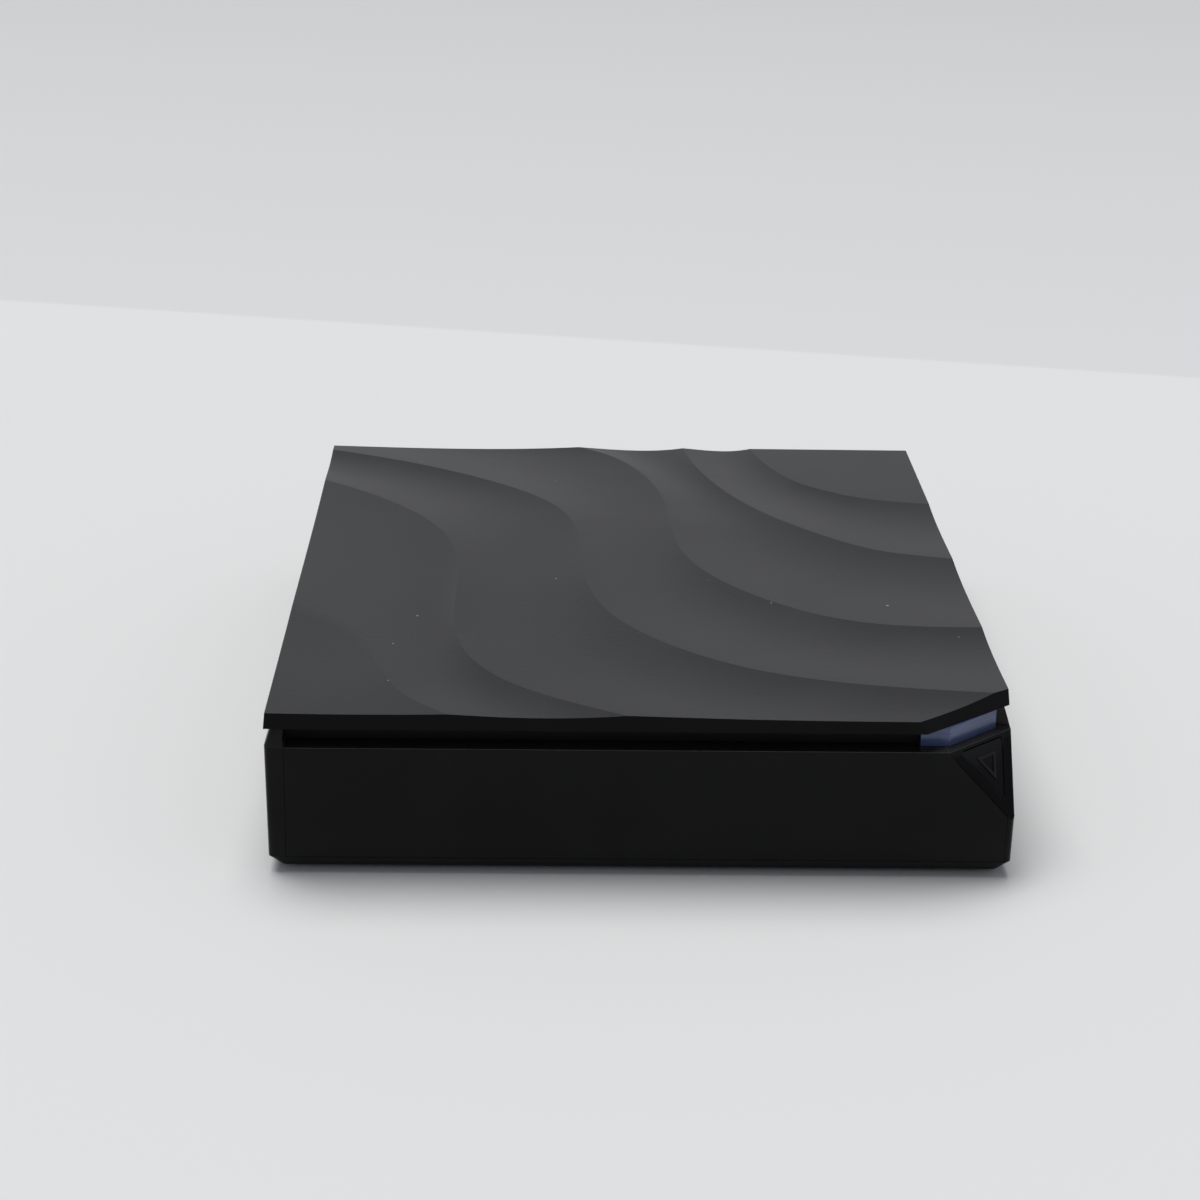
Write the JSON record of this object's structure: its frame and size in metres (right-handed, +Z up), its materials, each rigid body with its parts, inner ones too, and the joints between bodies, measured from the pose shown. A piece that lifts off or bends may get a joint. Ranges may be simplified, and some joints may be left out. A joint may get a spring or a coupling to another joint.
{
  "type": "media player with hard drive tray",
  "caption": "Flat media player: matt wave-relief cover on a gloss black case, pull-out hard drive tray along one side, triangular corner button.",
  "frame": {"origin": "on the standing surface, below the middle of the case", "axes": "+Z up; the tray pulls out towards -Y; +X is the player's own front; the rear sockets face -X and the side sockets face +Y"},
  "size_m": [0.1588, 0.1986, 0.0365],
  "materials": {
    "cover_plastic": "fine spark-eroded texture, matt",
    "case_gloss": "polished black",
    "button_gloss": "polished black",
    "window_tint": "smoky blue translucent",
    "tray_black": "satin moulded",
    "spring_steel": "bright spring steel",
    "board_green": "solder mask",
    "chip_black": "moulded epoxy",
    "sink_aluminium": "anodised extrusion",
    "shell_steel": "tin plated sheet",
    "socket_black": "moulded nylon",
    "lamp_clear": "clear epoxy",
    "film_copper": "polyimide film",
    "can_aluminium": "sleeved can",
    "foot_rubber": "soft matt"
  },
  "bodies": {
    "case": {"housing": "case_gloss", "base_plate": "tray_black", "top_cover": "cover_plastic", "light_window": "window_tint", "power_switch": "shell_steel", "switch_board": "board_green", "led_board": "board_green", "status_leds": "lamp_clear", "ir_receiver": "chip_black", "tray_guide_left": "tray_black", "tray_guide_right": "tray_black", "detent_springs": "spring_steel", "main_board": "board_green", "drive_board": "board_green", "drive_connector": "socket_black", "processor": "chip_black", "heat_sink": "sink_aluminium", "memory_chips": "chip_black", "capacitors": "can_aluminium", "inductors": "chip_black", "wifi_module": "shell_steel", "wifi_antennas": "film_copper", "dc_jack": "socket_black", "av_jack": "socket_black", "optical_jack": "socket_black", "hdmi_port": "shell_steel", "ethernet_jack": "socket_black", "usb3_port": "shell_steel", "usb2_ports": "shell_steel", "card_slot": "shell_steel", "rubber_feet": "foot_rubber"},
    "tray": {"tray_front": "case_gloss", "tray_carrier": "tray_black"},
    "button": {"power_button": "button_gloss", "switch_plunger": "socket_black"},
    "shutter": {"optical_shutter": "socket_black"}
  },
  "joints": [
    {"name": "tray_slide", "type": "slide", "parent": "case", "child": "tray", "axis": [0, -1, 0], "range_m": [0, 0.112]},
    {"name": "button_press", "type": "slide", "parent": "case", "child": "button", "axis": [-0.5767, 0.628, -0.5224], "range_m": [0, 0.0007], "stiffness_N_per_m": 400},
    {"name": "shutter_swing", "type": "hinge", "parent": "case", "child": "shutter", "pos_m": [-0.07742, 0.05, 0.0225], "axis": [0, -1, 0], "range_deg": [0, 80], "stiffness_Nm_per_rad": 0.0002}
  ]
}
